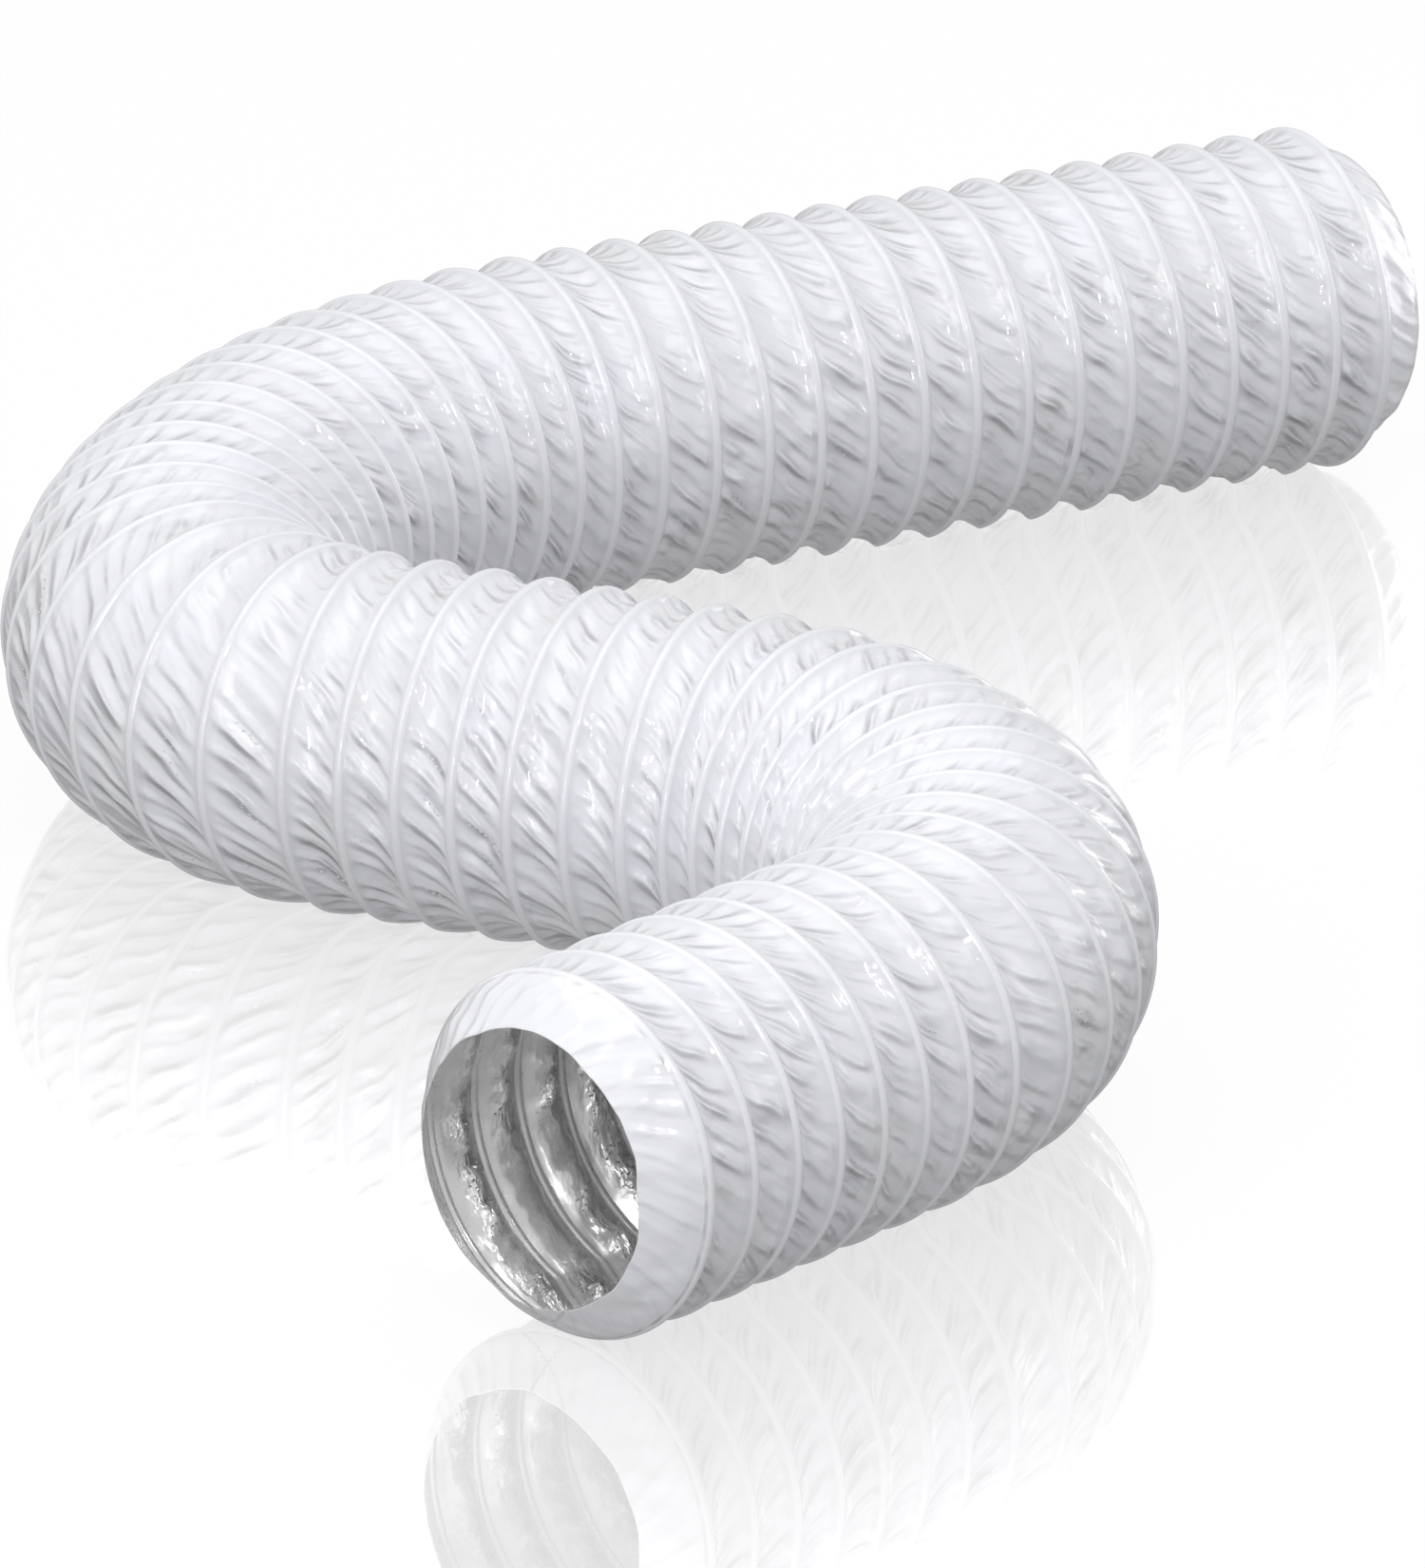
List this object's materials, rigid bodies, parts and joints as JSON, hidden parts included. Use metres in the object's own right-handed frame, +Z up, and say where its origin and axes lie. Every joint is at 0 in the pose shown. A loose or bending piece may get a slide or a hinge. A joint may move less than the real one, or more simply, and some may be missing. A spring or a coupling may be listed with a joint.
{
  "type": "flexible air duct",
  "caption": "Flexible air duct of white film and foil over a helical spring wire, lying on a flat surface in a loose S, open at both cut ends.",
  "frame": {"origin": "the middle of the bottom of the bounding box, on the surface that the duct lies on", "axes": "+Z up; the straight far leg runs along X with its mouth facing +X; the S spreads along Y, with the near mouth towards -Y"},
  "size_m": [0.5674, 0.6328, 0.1046],
  "materials": {
    "outer_film": "semi-gloss white PVC film, finely creased",
    "foil_liner": "bright crinkled foil",
    "spring_wire": "drawn spring-steel wire"
  },
  "bodies": {
    "mid_run": {"outer_film_mid_run_1": "outer_film", "foil_liner_mid_run_1": "foil_liner", "spring_wire_mid_run_1": "spring_wire", "outer_film_mid_run_2": "outer_film", "foil_liner_mid_run_2": "foil_liner", "spring_wire_mid_run_2": "spring_wire", "outer_film_mid_run_3": "outer_film", "foil_liner_mid_run_3": "foil_liner", "spring_wire_mid_run_3": "spring_wire"},
    "left_bend_near": {"outer_film_left_bend_near_1": "outer_film", "foil_liner_left_bend_near_1": "foil_liner", "spring_wire_left_bend_near_1": "spring_wire", "outer_film_left_bend_near_2": "outer_film", "foil_liner_left_bend_near_2": "foil_liner", "spring_wire_left_bend_near_2": "spring_wire"},
    "left_bend_far": {"outer_film_left_bend_far": "outer_film", "foil_liner_left_bend_far": "foil_liner", "spring_wire_left_bend_far": "spring_wire"},
    "far_run": {"outer_film_far_run": "outer_film", "foil_liner_far_run": "foil_liner", "spring_wire_far_run": "spring_wire", "outer_film_far_concertina": "outer_film", "foil_liner_far_concertina": "foil_liner", "spring_wire_far_concertina": "spring_wire"},
    "far_mouth": {"outer_film_far_mouth": "outer_film", "foil_liner_far_mouth": "foil_liner", "spring_wire_far_mouth": "spring_wire"},
    "right_bend_far": {"outer_film_right_bend_far": "outer_film", "foil_liner_right_bend_far": "foil_liner", "spring_wire_right_bend_far": "spring_wire"},
    "right_bend_near": {"outer_film_right_bend_near": "outer_film", "foil_liner_right_bend_near": "foil_liner", "spring_wire_right_bend_near": "spring_wire"},
    "near_run": {"outer_film_near_run": "outer_film", "foil_liner_near_run": "foil_liner", "spring_wire_near_run": "spring_wire", "outer_film_near_concertina": "outer_film", "foil_liner_near_concertina": "foil_liner", "spring_wire_near_concertina": "spring_wire"},
    "near_mouth": {"outer_film_near_mouth": "outer_film", "foil_liner_near_mouth": "foil_liner", "spring_wire_near_mouth": "spring_wire"}
  },
  "joints": [
    {"name": "left_bend_tight", "type": "hinge", "parent": "mid_run", "child": "left_bend_near", "pos_m": [-0.23143, 0.08389, 0.05228], "axis": [0, 0, 1], "range_deg": [0, 40]},
    {"name": "left_bend_wide", "type": "hinge", "parent": "left_bend_near", "child": "left_bend_far", "pos_m": [-0.13712, 0.27069, 0.05228], "axis": [0, 0, 1], "range_deg": [0, 20]},
    {"name": "far_lift", "type": "hinge", "parent": "left_bend_far", "child": "far_run", "pos_m": [0.0102, 0.26407, 0.10558], "axis": [0.0016, -1, 0], "range_deg": [0, 20]},
    {"name": "far_stretch", "type": "slide", "parent": "far_run", "child": "far_mouth", "axis": [1, 0, 0], "range_m": [-0.045, 0.045], "deforming": ["outer_film_far_concertina", "foil_liner_far_concertina", "spring_wire_far_concertina"]},
    {"name": "right_bend_first", "type": "hinge", "parent": "mid_run", "child": "right_bend_far", "pos_m": [-0.01474, -0.07296, 0.05228], "axis": [0, 0, 1], "range_deg": [0, 30]},
    {"name": "right_bend_second", "type": "hinge", "parent": "right_bend_far", "child": "right_bend_near", "pos_m": [-0.03327, -0.1967, 0.05228], "axis": [0, 0, 1], "range_deg": [0, 30]},
    {"name": "near_lift", "type": "hinge", "parent": "right_bend_near", "child": "near_run", "pos_m": [-0.1467, -0.22557, 0.10558], "axis": [-0.3551, 0.9348, 0], "range_deg": [0, 20]},
    {"name": "near_stretch", "type": "slide", "parent": "near_run", "child": "near_mouth", "axis": [-0.9348, -0.3551, 0], "range_m": [-0.03, 0.03], "deforming": ["outer_film_near_concertina", "foil_liner_near_concertina", "spring_wire_near_concertina"]}
  ]
}
